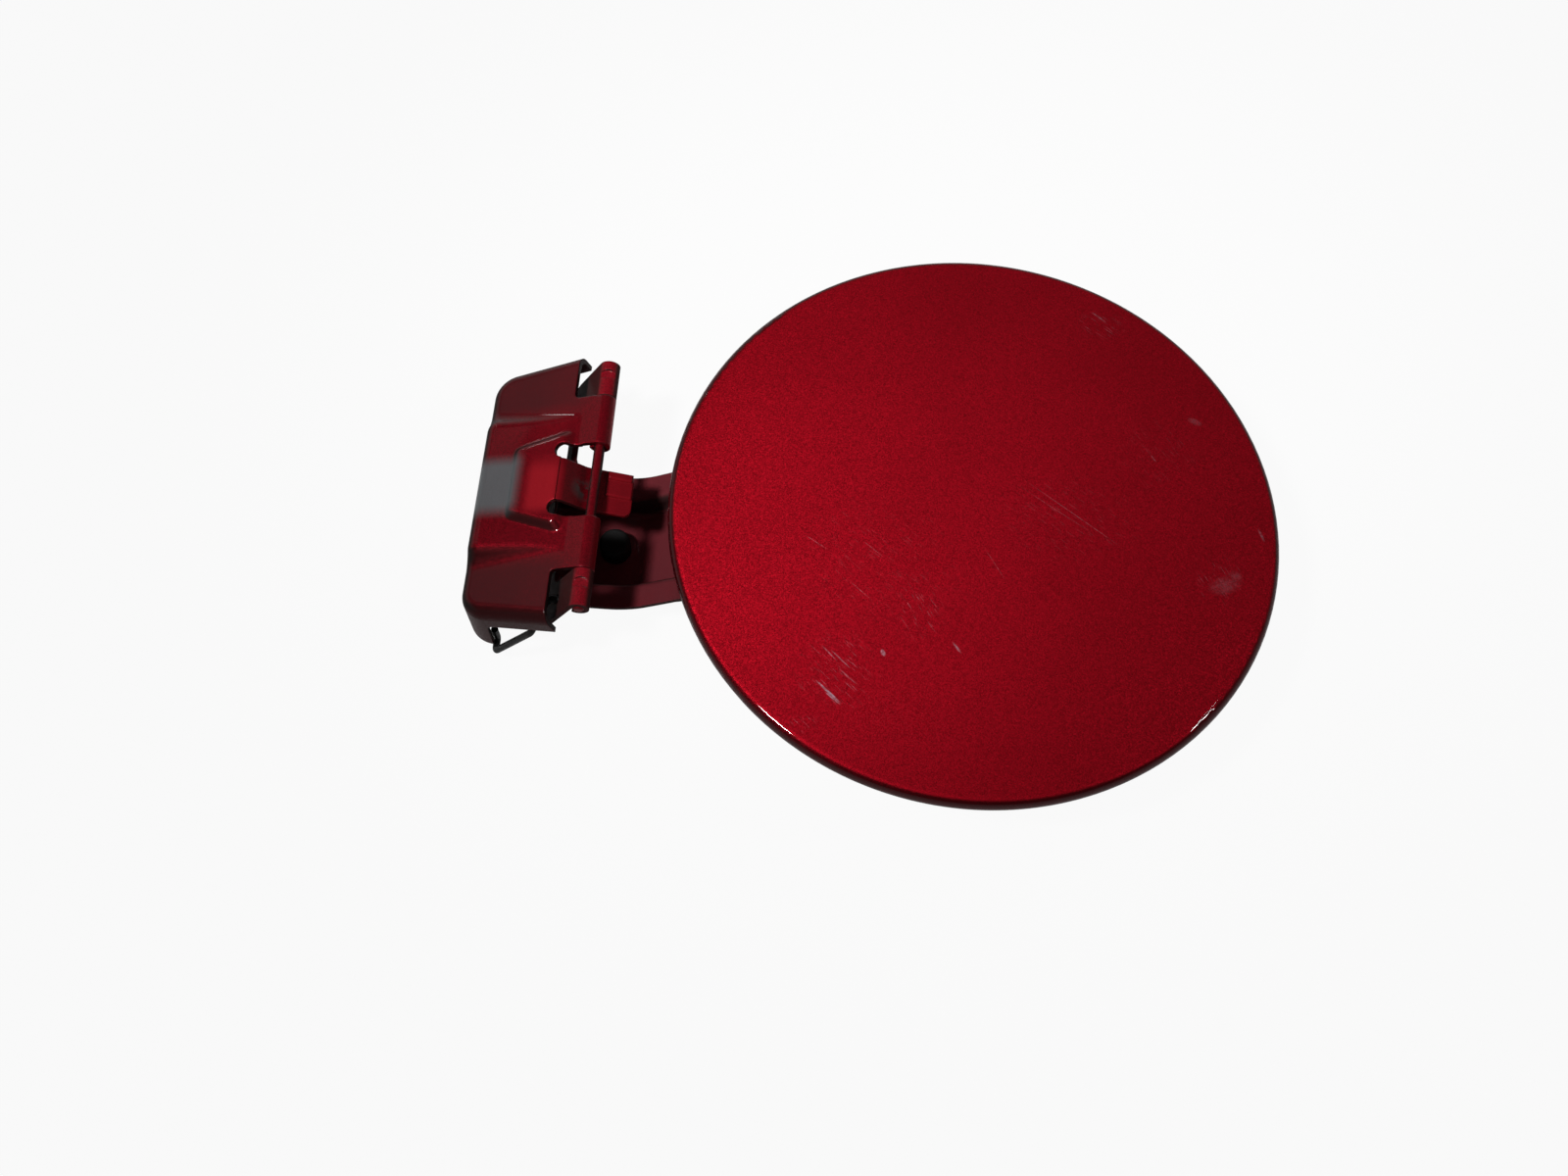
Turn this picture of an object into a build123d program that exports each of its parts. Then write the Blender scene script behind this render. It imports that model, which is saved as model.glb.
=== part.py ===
"""Round car fuel door on a stamped gooseneck hinge. Sizes are millimetres."""

import os
from math import asin, cos, degrees, radians, sin, sqrt, tan

from build123d import *

# Frame: the origin lies midway between the two bracket bolts, on the mounting face.
# +X runs from the hinge to the panel, +Y along the hinge pin, +Z out of the car body.

# Reach of the blocks that cut right through a part
PAST_ALL = 120.0

# Hinge pin and its fits
PIN_D = 3.0
PIN_PROUD = 0.4
PIN_RUN = 0.05
PIN_STAKE = 0.02
PIN_CHAMFER = 0.4
HINGE_X = 34.0
HINGE_Z = 17.0
END_PLAY = 0.25

# Bracket
BRACKET_T = 1.4
PLATE_FALL = 20.0
WALL_BELOW_BOLTS = 10.0
HALF_AT_WALL = 38.0
HALF_AT_FRONT = 42.0
WING_EDGE = 8.5
WING_NOTCH_R = 1.5
FRONT_EDGE = 4.0
SIDE_FLANGE = 7.5
FLANGE_CORNER_R = 3.0
BEND_R = 4.0
CORNER_R = 8.0
KNUCKLE_IN = 11.5
KNUCKLE_OUT = 27.0
CURL_GAP = 0.8
CREASE = 5.0
CREASE_R = 6.0
RISE = 3.2
RISE_HALF = 20.0
RISE_SLOPE = 40.0
RISE_EDGE_R = 5.0
EMBOSS_H = 1.8
EMBOSS_START = 1.6
EMBOSS_HALF_FRONT = 16.5
EMBOSS_HALF_REAR = 11.0
EMBOSS_L = 17.5
EMBOSS_DRAFT = 45.0
EMBOSS_CORNER_R = 3.0
EMBOSS_EDGE_R = 2.4
EMBOSS_FOOT_R = 1.6
SLOT_W = 4.6
SLOT_END = 11.0
TONGUE_HALF = 6.5
TONGUE_ROOT = 9.0
TONGUE_REACH = 10.0
TONGUE_DROP = 6.4
TONGUE_UNDER_PIN = 1.6
TONGUE_STEP = 0.3
TONGUE_SHOULDER = 0.2
TONGUE_BEND_R = 3.0
TONGUE_CORNER_R = 2.0
STAIR_W = 5.0
STAIR_H = 0.8
STAIR_EDGE_R = 0.6
STAIR_INSET = 0.4
BOLT_SPACING = 40.0
BOLT_HOLE_D = 6.6

# Gooseneck arm
ARM_T = 1.4
EAR_W = 11.0
EAR_DROP = 14.0
EAR_CORNER_R = 5.0
WALL_LEAN = 30.0
NECK_DEPTH = 24.0
NECK_HALF = 21.0
NECK_FULL_DEPTH = 21.0
HEEL_R = 7.5
FLOOR_END = 10.0
FLOOR_R = 20.0
RAMP_X = 24.0
RAMP_Z = -15.5
RAMP_R = 30.0
SPOON_START = 46.0
SPOON_R = 14.0
SPOON_END = 84.0
SPOON_HALF = 24.0
SPOON_CORNER_R = 14.0
CHANNEL_D = 6.0
CHANNEL_HALF = 13.0
CHANNEL_LIP_R = 2.2
CHANNEL_CORNER_R = 2.5
CHANNEL_TOP = 11.0
CHANNEL_LEAN = 34.0
CHANNEL_HEEL_R = 5.0
CHANNEL_FLOOR_R = 8.0
WINDOW_DROP = 10.0
WINDOW_CORNER_R = 2.5
NOTCH_DROP = 15.5
NOTCH_CLEARANCE = 2.0
STAKE_R = 2.8
STAKE_DEPTH = 0.8

# Panel
PANEL_D = 165.0
CROWN_R = 1200.0
EDGE_R = 2.6
SKIN_T = 0.8
INNER_T = 0.8
HEM_R = 1.5
HEM_LIFT = 35.0
HEM_W = 6.0
SHEET_GAP = 0.1
INNER_INSET = 5.0
HINGE_TO_EDGE = 21.5
PANEL_SIDE_SHIFT = 5.8
RIM_ABOVE_PIN = 8.0
FIELD_DROP = 4.5
FIELD_INSET = 19.5
FIELD_SLOPE = 50.0
FIELD_BEND_R = 3.0
DISH_R = 15.0
DISH_RISE = 2.5

# Striker
STRIKER_T = 1.6
STRIKER_W = 24.0
STRIKER_BASE = 18.0
STRIKER_DROP = 22.0
STRIKER_INSET = 26.5
STRIKER_BEND_R = 3.0
STRIKER_CORNER_R = 4.0
STRIKER_LAND = 4.0
STRIKER_SLOT_W = 13.0
STRIKER_SLOT_H = 8.0
STRIKER_SLOT_R = 1.5

# Rubber buttons
BUTTON_D = 12.0
BUTTON_H = 5.5
BUTTON_NECK_D = 6.0
BUTTON_INSET = 30.5
BUTTON_ANGLE = 42.0
BUTTON_EDGE_R = 1.2
STOP_D = 9.0
STOP_H = 6.0
STOP_NECK_D = 5.0
STOP_X = 4.2
BARB_H = 2.4
BARB_PROUD = 1.0
HOLE_GAP = 0.15

# Cap hook
HOOK_TO_STRIKER = 4.0
HOOK_BASE_L = 16.0
HOOK_BASE_W = 30.0
HOOK_BASE_T = 2.0
HOOK_BASE_R = 4.0
HOOK_W = 12.0
HOOK_T = 3.0
HOOK_DROP = 14.0
HOOK_REACH = 11.0
HOOK_TIP = 6.0
HOOK_BEND_R = 3.5
CLIP_D = 4.5
CLIP_SPACING = 22.0

# Spring wire, with its points measured from the middle of the pin
WIRE_D = 2.0
WIRE_BEND_R = 2.4
WIRE_HOOK_R = 1.2
WIRE_GAP = 0.3
WIRE_EYE_Y = -33.0
WIRE_EYE_DROP = 6.6
WIRE_TAIL = 4.0
WIRE_KNEE_X = -14.0
WIRE_KNEE_DROP = 13.0
WIRE_HOOK_X = -26.0
WIRE_HOOK_UP = 6.0

pin_r = PIN_D / 2
run_r = pin_r + PIN_RUN
stake_r = pin_r + PIN_STAKE
knuckle_r = run_r + BRACKET_T
ear_in = KNUCKLE_OUT + END_PLAY
ear_out = ear_in + EAR_W
wall_foot = -HINGE_Z - WALL_BELOW_BOLTS
fall = radians(PLATE_FALL)
down_plate = Vector(-cos(fall), -sin(fall))
plate_normal = Vector(-sin(fall), cos(fall))


def hinge_side(y):
    """A drawing plane across the pin: its origin on the pin, x to the panel, y up."""
    return Plane((HINGE_X, y, HINGE_Z), x_dir=(1, 0, 0), z_dir=(0, -1, 0))


def hinge_top(x, z):
    """A level drawing plane over the pin: x to the panel, y along the pin."""
    return Plane((HINGE_X + x, 0, HINGE_Z + z))


hinge_front = Plane((HINGE_X, 0, HINGE_Z), x_dir=(0, 1, 0), z_dir=(1, 0, 0))


def on_plate(along, depth=0.0):
    """A point of the bracket's top plate, measured down its slope from the pin."""
    return plate_normal * (knuckle_r - depth) + down_plate * along


def plate_at(x, depth=0.0):
    """The point of the bracket's top plate at a given x from the pin."""
    return on_plate((-x - (knuckle_r - depth) * sin(fall)) / cos(fall), depth)


def outset(points, distance):
    """The inner corners of a line of points, moved to its right-hand side."""
    corners = []
    for before, here, after in zip(points, points[1:], points[2:]):
        first = (here - before).normalized()
        second = (after - here).normalized()
        bisector = Vector(first.Y + second.Y, -first.X - second.X).normalized()
        corners.append(here + bisector * (distance / bisector.dot(Vector(first.Y, -first.X))))
    return corners


# Bracket: the outside form of the pressing, then its wall thickness, then the hinge features
plate_front = on_plate(FRONT_EDGE)
flare = (HALF_AT_FRONT - HALF_AT_WALL) / (HINGE_X + on_plate(WING_EDGE).X)
crease = on_plate(CREASE)
rise_top = plate_at(-HINGE_X) + Vector(0, RISE)
down_rise = (rise_top - crease).normalized()
rise_normal = Vector(down_rise.Y, -down_rise.X)
crease_point = (HINGE_X + crease.X, 0, HINGE_Z + crease.Y)
rise_face = Plane(
    crease_point,
    x_dir=(down_rise.X, 0, down_rise.Y),
    z_dir=(rise_normal.X, 0, rise_normal.Y),
)
plate_face = Plane(
    (HINGE_X + plate_normal.X * knuckle_r, 0, HINGE_Z + plate_normal.Y * knuckle_r),
    x_dir=(down_plate.X, 0, down_plate.Y),
    z_dir=(plate_normal.X, 0, plate_normal.Y),
)


def on_rise(along, height=0.0):
    """A point of the bracket's raised middle, measured down its slope from the crease."""
    return crease + down_rise * along + rise_normal * height


def raised_middle(inset):
    """The wedge that lifts the middle of the bracket's plate, or with an inset its inside."""
    fold = outset([rise_top, crease, plate_front], inset)[0]
    wall_x = inset - HINGE_X
    ridge = fold + down_rise * ((wall_x - fold.X) / down_rise.X)
    half = RISE_HALF - inset * tan(radians(RISE_SLOPE / 2))
    depth = 2 * RISE
    foot = half + depth / tan(radians(RISE_SLOPE))
    fold_point = (HINGE_X + fold.X, 0, HINGE_Z + fold.Y)
    across = Plane(fold_point, x_dir=(0, 1, 0), z_dir=(down_rise.X, 0, down_rise.Y))
    with BuildPart() as wedge:
        with BuildSketch(across):
            with BuildLine():
                Polyline((-half, 0), (half, 0), (foot, depth), (-foot, depth), close=True)
            make_face()
        extrude(amount=PAST_ALL)
        with BuildSketch(hinge_side(0)):
            with BuildLine():
                Polyline((wall_x, wall_foot), ridge, fold, (fold.X, wall_foot), close=True)
            make_face()
        extrude(amount=PAST_ALL, both=True, mode=Mode.INTERSECT)
    return wedge.part


def emboss(inset):
    """The tapered boss on the raised middle, or with an inset its inside."""
    shrink = inset * tan(radians(EMBOSS_DRAFT / 2))
    near = EMBOSS_START + shrink
    far = EMBOSS_START + EMBOSS_L - shrink
    half_near = EMBOSS_HALF_FRONT - shrink
    half_far = EMBOSS_HALF_REAR - shrink
    with BuildPart() as boss:
        with BuildSketch(rise_face.offset(-inset)) as plan:
            with BuildLine():
                Polyline(
                    (near, -half_near),
                    (far, -half_far),
                    (far, half_far),
                    (near, half_near),
                    close=True,
                )
            make_face()
        extrude(amount=EMBOSS_H, taper=EMBOSS_DRAFT)
        level = rise_face.z_dir
        hips = boss.edges().filter_by(lambda edge: abs((edge % 0.5).dot(level)) > 0.1)
        fillet(hips, EMBOSS_CORNER_R - inset)
        top = boss.faces().sort_by(Axis(crease_point, level))[-1]
        fillet(top.edges(), EMBOSS_EDGE_R - inset)
        extrude(plan.sketch, amount=-RISE / 2)
    return boss.part


def folds(form):
    """The edges between two upward faces of a pressing, without its outline."""
    upward = form.faces().filter_by(lambda face: face.normal_at().Z > 0.3)
    owned = [edge for face in upward for edge in face.edges()]
    return form.edges().filter_by(lambda edge: sum(edge.is_same(other) for other in owned) == 2)


def pressing(inset):
    """The bracket's outside form, or with an inset the space inside it."""
    past = 4 * inset
    wall_x = inset - HINGE_X
    front = plate_front.X + past
    front_x = HINGE_X + front
    foot = wall_foot - past
    side_in = inset * sqrt(1 + flare * flare)
    half_wall = HALF_AT_WALL + flare * inset - side_in
    half_front = HALF_AT_WALL + flare * front_x - side_in
    plate_in = plate_face.offset(-inset)
    rise_in = rise_face.offset(-inset)
    with BuildPart() as form:
        with BuildSketch(hinge_side(0)):
            with BuildLine():
                Polyline(
                    (wall_x, foot),
                    plate_at(wall_x, inset),
                    plate_at(front, inset),
                    (front, foot),
                    close=True,
                )
            make_face()
        extrude(amount=PAST_ALL, both=True)
        with BuildSketch():
            with BuildLine():
                Polyline(
                    (inset, -half_wall),
                    (front_x, -half_front),
                    (front_x, half_front),
                    (inset, half_wall),
                    close=True,
                )
            make_face()
        extrude(amount=PAST_ALL, both=True, mode=Mode.INTERSECT)
        fillet(form.edges().filter_by(Axis.Z).group_by(Axis.X)[0], CORNER_R - inset)

        add(raised_middle(inset))
        lines = folds(form).sort_by(lambda edge: plate_in.to_local_coords(edge @ 0.5).Z)
        ridges = lines[-2:]
        fillet(lines[:-2], CREASE_R + inset)
        ridge_y = abs((ridges[0] @ 0.5).Y)
        ridges = folds(form).filter_by(lambda edge: abs(abs((edge @ 0.5).Y) - ridge_y) < PIN_RUN)
        fillet(ridges, RISE_EDGE_R - inset)

        add(emboss(inset))
        feet = folds(form).filter_by(lambda edge: abs(rise_in.to_local_coords(edge @ 0.5).Z) < PIN_RUN)
        feet = feet.filter_by(lambda edge: abs((edge @ 0.5).Y) < EMBOSS_HALF_FRONT)
        feet = feet.filter_by(lambda edge: rise_in.to_local_coords(edge @ 0.5).X > EMBOSS_START / 2)
        fillet(feet, EMBOSS_FOOT_R + inset)

        top_faces = form.faces().filter_by(lambda face: face.normal_at().Z > 0.3)
        outline = form.faces().filter_by(lambda face: abs(face.normal_at().Z) < 0.01)
        wall_faces = outline.filter_by(lambda face: face.normal_at().X < 0.9)
        bends = [
            edge
            for edge in wall_faces.edges()
            if any(edge.is_same(other) for other in top_faces.edges())
        ]
        fillet(bends, BEND_R - inset)
    return form.part


tongue_foot = Vector(-knuckle_r, -pin_r - TONGUE_UNDER_PIN)
tongue_end = Vector(TONGUE_REACH, -TONGUE_DROP)
tongue_way = (tongue_end - tongue_foot).normalized()
tongue_up = Vector(-tongue_way.Y, tongue_way.X)

with BuildPart() as bracket_tongue:
    with BuildSketch(hinge_side(0)):
        with BuildLine():
            FilletPolyline(
                on_rise(EMBOSS_START + EMBOSS_L / 2, EMBOSS_H - TONGUE_STEP),
                on_rise(EMBOSS_START + EMBOSS_H, EMBOSS_H - TONGUE_STEP),
                tongue_foot,
                tongue_end,
                radius=TONGUE_BEND_R,
            )
            offset(amount=BRACKET_T, side=Side.RIGHT)
        make_face()
    extrude(amount=TONGUE_HALF, both=True)
    tongue_tip = bracket_tongue.faces().sort_by(Axis.X)[-1]
    fillet(tongue_tip.edges().filter_by(Axis.Y, reverse=True), TONGUE_CORNER_R)
    for stair in (1, 2):
        lift = tongue_up * (stair * STAIR_H)
        sunk = tongue_up * (-BRACKET_T / 2)
        near = tongue_foot + tongue_way * (2 * knuckle_r)
        far = tongue_end - tongue_way * (stair * STAIR_INSET)
        with BuildSketch(hinge_side(TONGUE_HALF - stair * STAIR_INSET)):
            with BuildLine():
                Polyline(near + sunk, near + lift, far + lift, far + sunk, close=True)
            make_face()
        extrude(amount=2 * TONGUE_HALF - stair * (STAIR_W + STAIR_INSET))
        stair_y = stair * STAIR_W - TONGUE_HALF
        ridge = bracket_tongue.edges().filter_by(lambda edge: abs((edge @ 0.5).Y - stair_y) < PIN_RUN)
        long_edges = ridge.sort_by(SortBy.LENGTH)[-2:]
        fillet(long_edges.sort_by(Axis.Z)[-1], STAIR_EDGE_R)

with BuildPart() as hinge_bracket:
    add(pressing(0))
    add(pressing(BRACKET_T), mode=Mode.SUBTRACT)
    with BuildSketch(hinge_side(0)):
        with BuildLine():
            FilletPolyline(
                (-HINGE_X + SIDE_FLANGE, wall_foot - PAST_ALL),
                plate_at(-HINGE_X + SIDE_FLANGE, SIDE_FLANGE),
                plate_at(PAST_ALL, SIDE_FLANGE),
                (PAST_ALL, wall_foot - PAST_ALL),
                radius=FLANGE_CORNER_R,
                close=True,
            )
        make_face()
    extrude(amount=PAST_ALL, both=True, mode=Mode.SUBTRACT)

    for side in (1, -1):
        with BuildSketch(plate_face):
            with Locations((0, side * (TONGUE_HALF + TONGUE_SHOULDER + SLOT_W / 2))):
                SlotOverall(2 * SLOT_END, SLOT_W)
            with Locations((WING_EDGE - PAST_ALL / 2, side * (KNUCKLE_OUT + PAST_ALL / 2))):
                RectangleRounded(PAST_ALL, PAST_ALL, WING_NOTCH_R)
        extrude(amount=PAST_ALL / 2, both=True, mode=Mode.SUBTRACT)
    with BuildSketch(plate_face):
        Rectangle(2 * TONGUE_ROOT, 2 * TONGUE_HALF + SLOT_W)
    extrude(amount=knuckle_r, both=True, mode=Mode.SUBTRACT)

    for outer_end in (KNUCKLE_OUT, -KNUCKLE_IN):
        with BuildSketch(hinge_side(outer_end)):
            with BuildLine():
                Polyline(
                    on_plate(CREASE),
                    on_plate(0),
                    on_plate(0, BRACKET_T),
                    on_plate(CREASE, BRACKET_T),
                    close=True,
                )
            make_face()
            Circle(knuckle_r)
            with BuildLine():
                Polyline(
                    on_plate(0, BRACKET_T),
                    on_plate(PAST_ALL, BRACKET_T),
                    on_plate(PAST_ALL, BRACKET_T + CURL_GAP),
                    on_plate(0, BRACKET_T + CURL_GAP),
                    close=True,
                )
            make_face(mode=Mode.SUBTRACT)
            Circle(run_r, mode=Mode.SUBTRACT)
        extrude(amount=KNUCKLE_OUT - KNUCKLE_IN)

    add(bracket_tongue.part)

    with BuildSketch(Plane.YZ):
        with GridLocations(BOLT_SPACING, 0, 2, 1):
            Circle(BOLT_HOLE_D / 2)
    extrude(amount=2 * BRACKET_T, mode=Mode.SUBTRACT)


# Gooseneck arm: a pressed strip, drawn as the upper face of its lips from the pin to the panel
wall_lean = radians(WALL_LEAN)
lean = tan(wall_lean)
wall_top = -stake_r / cos(wall_lean)
neck_y = -PANEL_SIDE_SHIFT
spoon_z = RIM_ABOVE_PIN - FIELD_DROP
lip_line = [
    Vector(-cos(wall_lean), sin(wall_lean)) * stake_r,
    Vector(wall_top - NECK_DEPTH * lean, -NECK_DEPTH),
    Vector(FLOOR_END, -NECK_DEPTH),
    Vector(RAMP_X, RAMP_Z),
    Vector(SPOON_START, spoon_z),
    Vector(SPOON_END, spoon_z),
]
lip_radii = [HEEL_R, FLOOR_R, RAMP_R, SPOON_R]
ramp = (lip_line[4] - lip_line[3]).normalized()
floor_z = -NECK_DEPTH - CHANNEL_D
channel_radii = [CHANNEL_HEEL_R, CHANNEL_FLOOR_R, RAMP_R]


def trough(depth):
    """The line of the channel at a depth under the lips, from beside the pin to the panel."""
    steep = radians(CHANNEL_LEAN)
    top_x = wall_top + CHANNEL_TOP * (tan(steep) - lean)
    top_x -= (depth - CHANNEL_D) / cos(steep)
    low = -NECK_DEPTH - depth
    over = spoon_z + ARM_T
    return [
        Vector(top_x, 0),
        Vector(top_x + low * tan(steep), low),
        *outset(lip_line, depth)[1:3],
        Vector(SPOON_START + depth / ramp.Y + ARM_T * ramp.X / ramp.Y, over),
    ]


def channel(depth, half, added_r):
    """The solid that fills the arm's channel to a depth, with its lower edges rounded."""
    line = trough(depth)
    with BuildPart() as form:
        with BuildSketch(hinge_side(neck_y)):
            with BuildLine():
                FilletPolyline(*line, radius=[radius + added_r for radius in channel_radii])
                Polyline(line[-1], (PAST_ALL, PAST_ALL), (line[0].X, PAST_ALL), line[0])
            make_face()
        extrude(amount=half, both=True)
        lower = form.edges().filter_by(lambda edge: (edge @ 0.5).Z < HINGE_Z + spoon_z)
        lower = lower.filter_by(Axis.Y, reverse=True)
        fillet(lower, CHANNEL_CORNER_R + added_r)
    return form.part


ear_r = stake_r + ARM_T


def ear_side(y):
    """A drawing plane across the pin, turned so that its y runs up the arm's wall."""
    wall_x = (cos(wall_lean), 0, -sin(wall_lean))
    return Plane((HINGE_X, y, HINGE_Z), x_dir=wall_x, z_dir=(0, -1, 0))


with BuildPart() as channel_shell:
    add(channel(CHANNEL_D + ARM_T, CHANNEL_HALF + ARM_T, ARM_T))
    with BuildSketch(hinge_side(0)):
        with BuildLine():
            first = lip_line[0] * (1 + ARM_T / (2 * stake_r))
            last = lip_line[-1] - Vector(0, ARM_T / 2)
            FilletPolyline(first, *outset(lip_line, ARM_T / 2), last, radius=lip_radii)
            Polyline(last, (SPOON_END, -PAST_ALL), (-PAST_ALL, -PAST_ALL), (-PAST_ALL, 0), first)
        make_face()
    extrude(amount=PAST_ALL, both=True, mode=Mode.INTERSECT)

with BuildPart() as lip_rounds:
    with BuildLine() as lip_path:
        corners = [*lip_line[:4], lip_line[4] + ramp * SPOON_R]
        corners = [hinge_side(neck_y).from_local_coords(corner) for corner in corners]
        FilletPolyline(*corners, radius=lip_radii[:3])
    with BuildSketch(Plane(lip_path.line @ 0, x_dir=(0, 1, 0), z_dir=lip_path.line % 0)):
        for side in (1, -1):
            with BuildLine():
                inner = Vector(side * CHANNEL_HALF, -CHANNEL_LIP_R)
                outer = Vector(side * (CHANNEL_HALF + CHANNEL_LIP_R), 0)
                RadiusArc(inner, outer, side * CHANNEL_LIP_R)
                Polyline(outer, outer + Vector(0, ARM_T), (0, ARM_T), (0, -CHANNEL_LIP_R), inner)
            make_face()
    sweep()

with BuildPart() as hinge_arm:
    with BuildSketch(hinge_side(0)):
        with BuildLine():
            FilletPolyline(*lip_line, radius=lip_radii)
            offset(amount=ARM_T, side=Side.RIGHT)
        make_face()
    extrude(amount=ear_out, both=True)
    with BuildSketch(hinge_front):
        with BuildLine():
            FilletPolyline(
                (-ear_out, PAST_ALL),
                (-ear_out, -EAR_DROP),
                (neck_y - NECK_HALF, -NECK_FULL_DEPTH),
                (neck_y - NECK_HALF, -PAST_ALL),
                (neck_y + NECK_HALF, -PAST_ALL),
                (neck_y + NECK_HALF, -NECK_FULL_DEPTH),
                (ear_out, -EAR_DROP),
                (ear_out, PAST_ALL),
                radius=EAR_CORNER_R,
                close=True,
            )
        make_face()
    extrude(amount=PAST_ALL, both=True, mode=Mode.INTERSECT)
    with BuildSketch(hinge_top(0, 0)):
        with BuildLine():
            Polyline(
                (-PAST_ALL, -ear_out),
                (0, -ear_out),
                (0, neck_y - NECK_HALF),
                (RAMP_X, neck_y - NECK_HALF),
                (SPOON_START, neck_y - SPOON_HALF),
                (SPOON_END, neck_y - SPOON_HALF),
                (SPOON_END, neck_y + SPOON_HALF),
                (SPOON_START, neck_y + SPOON_HALF),
                (RAMP_X, neck_y + NECK_HALF),
                (0, neck_y + NECK_HALF),
                (0, ear_out),
                (-PAST_ALL, ear_out),
                close=True,
            )
        make_face()
        fillet(vertices().group_by(Axis.X)[-1], SPOON_CORNER_R)
    extrude(amount=PAST_ALL, both=True, mode=Mode.INTERSECT)

    add(channel_shell.part)
    add(channel(CHANNEL_D, CHANNEL_HALF, 0), mode=Mode.SUBTRACT)
    add(lip_rounds.part, mode=Mode.SUBTRACT)
    with BuildSketch(hinge_front):
        Rectangle(2 * ear_in, 2 * WINDOW_DROP)
        Rectangle(2 * (TONGUE_HALF + NOTCH_CLEARANCE), 2 * NOTCH_DROP)
        fillet(vertices(), WINDOW_CORNER_R)
    extrude(amount=-NECK_DEPTH, mode=Mode.SUBTRACT)

    for outer_end in (ear_out, -ear_in):
        with BuildSketch(ear_side(outer_end)):
            Circle(ear_r)
            Circle(stake_r, mode=Mode.SUBTRACT)
            with BuildLine():
                Polyline(
                    (-stake_r, 0),
                    (-ear_r, 0),
                    (-ear_r, -ear_r),
                    (-stake_r + CURL_GAP, -ear_r),
                    (-stake_r + CURL_GAP, 0),
                    close=True,
                )
            make_face(mode=Mode.SUBTRACT)
        extrude(amount=EAR_W)

    for side in (1, -1):
        with BuildSketch(hinge_top(0, ear_r)):
            with Locations((0, side * (ear_in + EAR_W / 2))):
                Circle(STAKE_R)
                with Locations((0, -STAKE_R)):
                    Rectangle(2 * STAKE_R, 2 * STAKE_R, mode=Mode.SUBTRACT)
        extrude(amount=-STAKE_DEPTH, mode=Mode.SUBTRACT)
    with BuildSketch(hinge_front):
        with Locations((WIRE_EYE_Y, -WIRE_EYE_DROP)):
            Circle(WIRE_D / 2 + WIRE_GAP)
    extrude(amount=-NECK_DEPTH, mode=Mode.SUBTRACT)
    with BuildSketch(hinge_top(0, floor_z)):
        with Locations((STOP_X, neck_y)):
            Circle(STOP_NECK_D / 2 + HOLE_GAP)
    extrude(amount=2 * ARM_T, both=True, mode=Mode.SUBTRACT)


with BuildPart() as hinge_pin:
    pin_half = ear_out + PIN_PROUD
    with BuildSketch(hinge_side(pin_half)):
        Circle(pin_r)
    extrude(amount=2 * pin_half)
    chamfer(hinge_pin.edges().filter_by(GeomType.CIRCLE), PIN_CHAMFER)


# Panel: a crowned skin whose edge is rolled over an inner panel
panel_r = PANEL_D / 2
panel_x = HINGE_X + HINGE_TO_EDGE + panel_r
field_r = panel_r - FIELD_INSET
striker_x = panel_r - STRIKER_INSET
button_ring = panel_r - BUTTON_INSET
hook_x = striker_x - STRIKER_BASE - HOOK_TO_STRIKER - HOOK_BASE_L / 2
rim_z = HINGE_Z + RIM_ABOVE_PIN
panel_side = Plane((panel_x, neck_y, rim_z), x_dir=(1, 0, 0), z_dir=(0, -1, 0))
panel_axis = Axis((panel_x, neck_y, rim_z), (0, 0, 1))
crown_angle = degrees(asin((panel_r - EDGE_R) / (CROWN_R - EDGE_R)))
apex = CROWN_R - (CROWN_R - EDGE_R) * cos(radians(crown_angle))


def under_skin(r, depth):
    """A point of the panel's section, at a depth under the outer face."""
    return Vector(r, apex - CROWN_R + sqrt(CROWN_R * CROWN_R - r * r) - depth)


def field(z):
    """A level drawing plane of the panel, at a height over the inner panel's lower face."""
    return Plane((panel_x, neck_y, rim_z - FIELD_DROP + z))


def button_section(head_r, head_h, neck_r, sheet_t):
    """Half the section of a push-in button: head below zero, barb above the sheet."""
    return [
        (0, -head_h),
        (head_r, -head_h),
        (head_r, 0),
        (neck_r, 0),
        (neck_r, sheet_t),
        (neck_r + BARB_PROUD, sheet_t),
        (neck_r, sheet_t + BARB_H),
        (0, sheet_t + BARB_H),
    ]


with BuildPart() as outer_panel:
    stack = 2 * SKIN_T + INNER_T + 2 * SHEET_GAP
    lift = radians(HEM_LIFT)
    lip_bend = HEM_R * (cos(radians(crown_angle)) - cos(lift))
    climb = under_skin(panel_r - INNER_INSET, stack).Y + HEM_R * cos(lift) - lip_bend
    with BuildSketch(panel_side):
        with BuildLine():
            crown = JernArc((0, apex), (1, 0), CROWN_R, -crown_angle)
            edge = JernArc(crown @ 1, crown % 1, EDGE_R, crown_angle - 90)
            roll = JernArc(edge @ 1, edge % 1, HEM_R, -90 - HEM_LIFT)
            rise = PolarLine(roll @ 1, climb / sin(lift), 180 - HEM_LIFT)
            turn = JernArc(rise @ 1, rise % 1, HEM_R, HEM_LIFT - crown_angle)
            PolarLine(turn @ 1, HEM_W, 180 - crown_angle)
            offset(amount=SKIN_T, side=Side.RIGHT)
        make_face()
    revolve(axis=panel_axis)

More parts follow.
